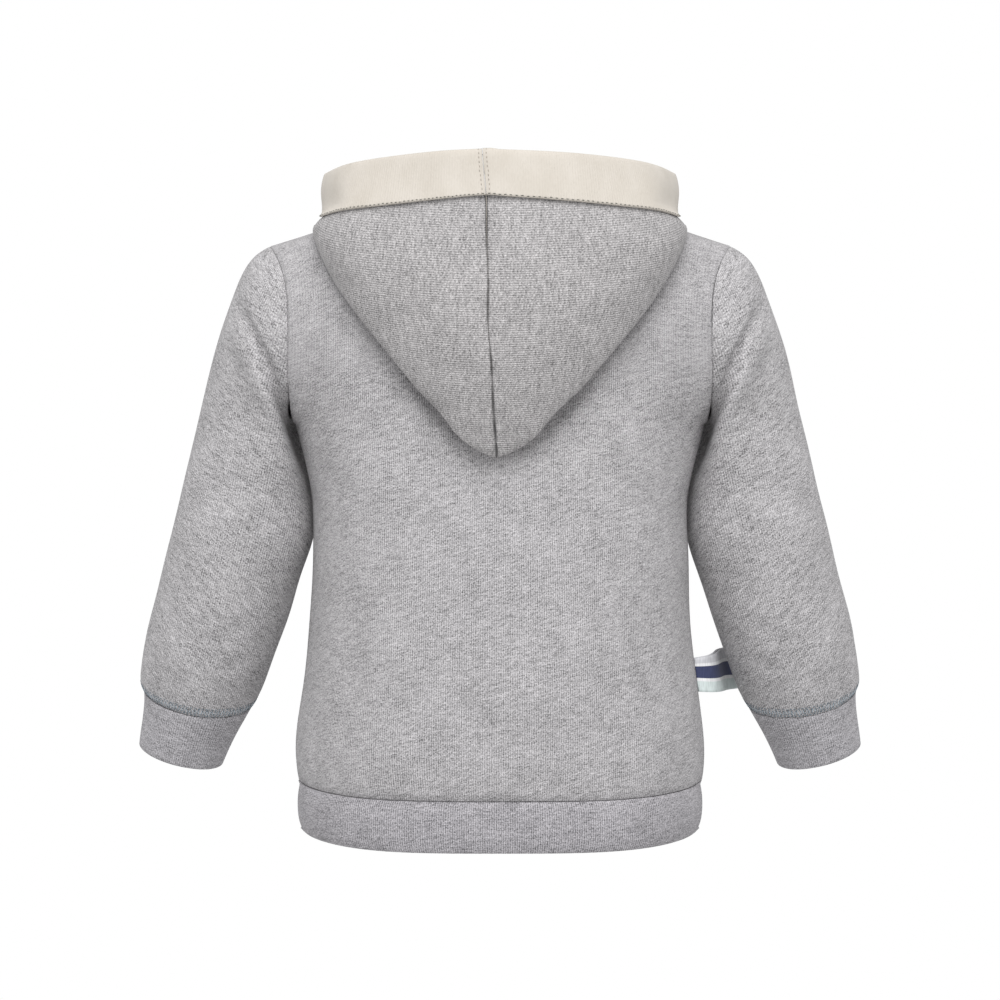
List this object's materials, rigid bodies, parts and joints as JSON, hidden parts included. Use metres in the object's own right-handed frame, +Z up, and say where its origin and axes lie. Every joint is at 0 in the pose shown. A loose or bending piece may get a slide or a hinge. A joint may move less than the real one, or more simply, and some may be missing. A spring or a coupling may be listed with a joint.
{
  "type": "toddler hoodie",
  "caption": "Toddler pullover hoodie in jersey, filled out as worn, hood lying on the back with a contrast band turned out at its face edge.",
  "frame": {"origin": "middle of the neck, level with the high points of the shoulder seams, where the wearer's shoulders hold it", "axes": "+Z up, +Y towards the back of the garment, +X towards the wearer's left"},
  "size_m": [0.45, 0.1823, 0.3917],
  "materials": {
    "jersey": "grey melange cotton jersey, brushed, fine vertical wales",
    "rib": "grey melange jersey, doubled at cuffs and hem",
    "hood": "grey melange jersey outside, cream jersey inside",
    "band": "cream jersey with dark edge stitching",
    "ribbon": "woven ribbon, pale grey, white and navy stripes"
  },
  "bodies": {
    "root": {"front_panel": "jersey", "back_panel": "jersey", "sleeve_left": "jersey", "sleeve_right": "jersey", "cuff_left": "rib", "cuff_right": "rib", "hem_band": "rib", "hood_left": "hood", "hood_right": "hood", "hood_band_left": "band", "hood_band_right": "band", "side_tab": "ribbon"}
  },
  "joints": []
}
